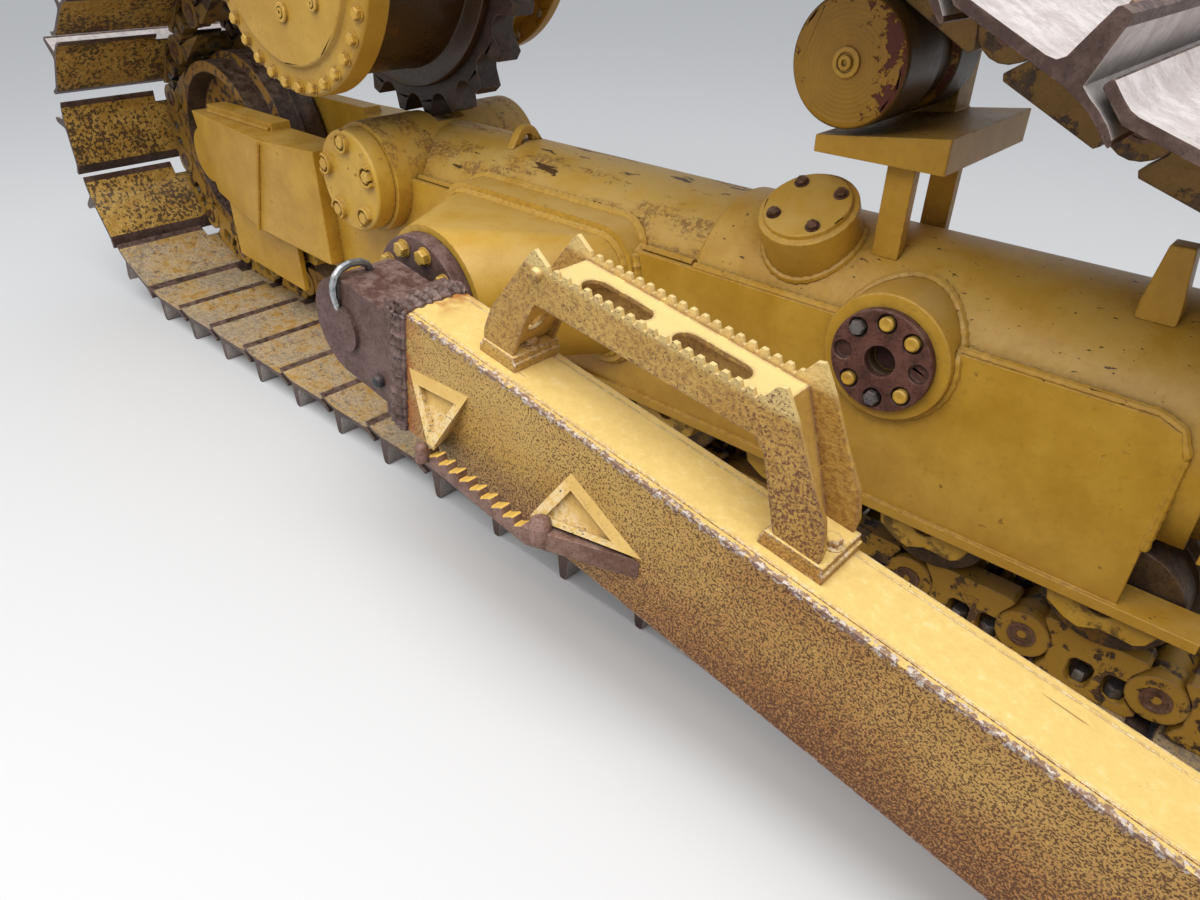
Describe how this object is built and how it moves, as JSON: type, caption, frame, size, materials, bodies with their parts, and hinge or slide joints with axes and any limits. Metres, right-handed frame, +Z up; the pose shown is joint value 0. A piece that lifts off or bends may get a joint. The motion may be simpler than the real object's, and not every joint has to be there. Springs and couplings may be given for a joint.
{
  "type": "crawler tractor track assembly with push arm",
  "caption": "Right-hand track of a bulldozer with raised final drive, frame, rollers, wide shoes and the blade's hinged push arm with steps.",
  "frame": {"origin": "on the pivot shaft bore's axis, at the middle of the track chain's width", "axes": "+X forwards, +Y inboard along the pivot shaft bore towards the tractor, +Z up"},
  "size_m": [4.4561, 1.202, 1.7144],
  "materials": {
    "frame_paint": "mustard yellow enamel, dusty and chipped",
    "drive_paint": "yellow enamel with grease and dust",
    "arm_paint": "pale yellow enamel, rust speckled",
    "rusty_casting": "dark brown rusted casting",
    "shoe_steel": "worn dusty steel with paint left inside",
    "chain_steel": "greasy steel with worn yellow paint",
    "wheel_iron": "painted iron with bright worn treads"
  },
  "bodies": {
    "track_frame": {"roller_frame": "frame_paint", "rear_tube": "frame_paint", "pivot_housing": "frame_paint", "pivot_cap": "frame_paint", "rear_fork": "frame_paint", "front_yoke": "frame_paint", "trunnion_tower": "frame_paint", "guide_boss": "frame_paint", "tube_cover": "frame_paint", "lifting_eye": "frame_paint", "front_bracket": "frame_paint", "carrier_bracket": "frame_paint", "roller_collars": "frame_paint", "idler_bearings": "frame_paint", "final_drive_drum": "drive_paint", "final_drive_cover": "drive_paint", "final_drive_housing": "drive_paint", "carrier_roller": "drive_paint", "trunnion_flange": "rusty_casting", "trunnion_ball": "rusty_casting", "guide_disc": "rusty_casting", "track_shoes": "shoe_steel", "track_chain": "chain_steel", "sprocket": "chain_steel", "rear_idler": "wheel_iron", "front_idler": "wheel_iron", "track_rollers": "wheel_iron", "idler_axles": "wheel_iron"},
    "push_arm": {"arm_beam": "arm_paint", "ball_socket": "rusty_casting", "socket_cap": "rusty_casting", "blade_eye": "arm_paint", "brace_lug": "arm_paint", "step_pads": "arm_paint", "top_step": "arm_paint", "side_step": "arm_paint", "side_step_brackets": "arm_paint"}
  },
  "joints": [
    {"name": "push_arm_lift", "type": "hinge", "parent": "track_frame", "child": "push_arm", "pos_m": [0.56, -0.608, -0.088], "axis": [0, -1, 0], "range_deg": [-10, 24]}
  ]
}
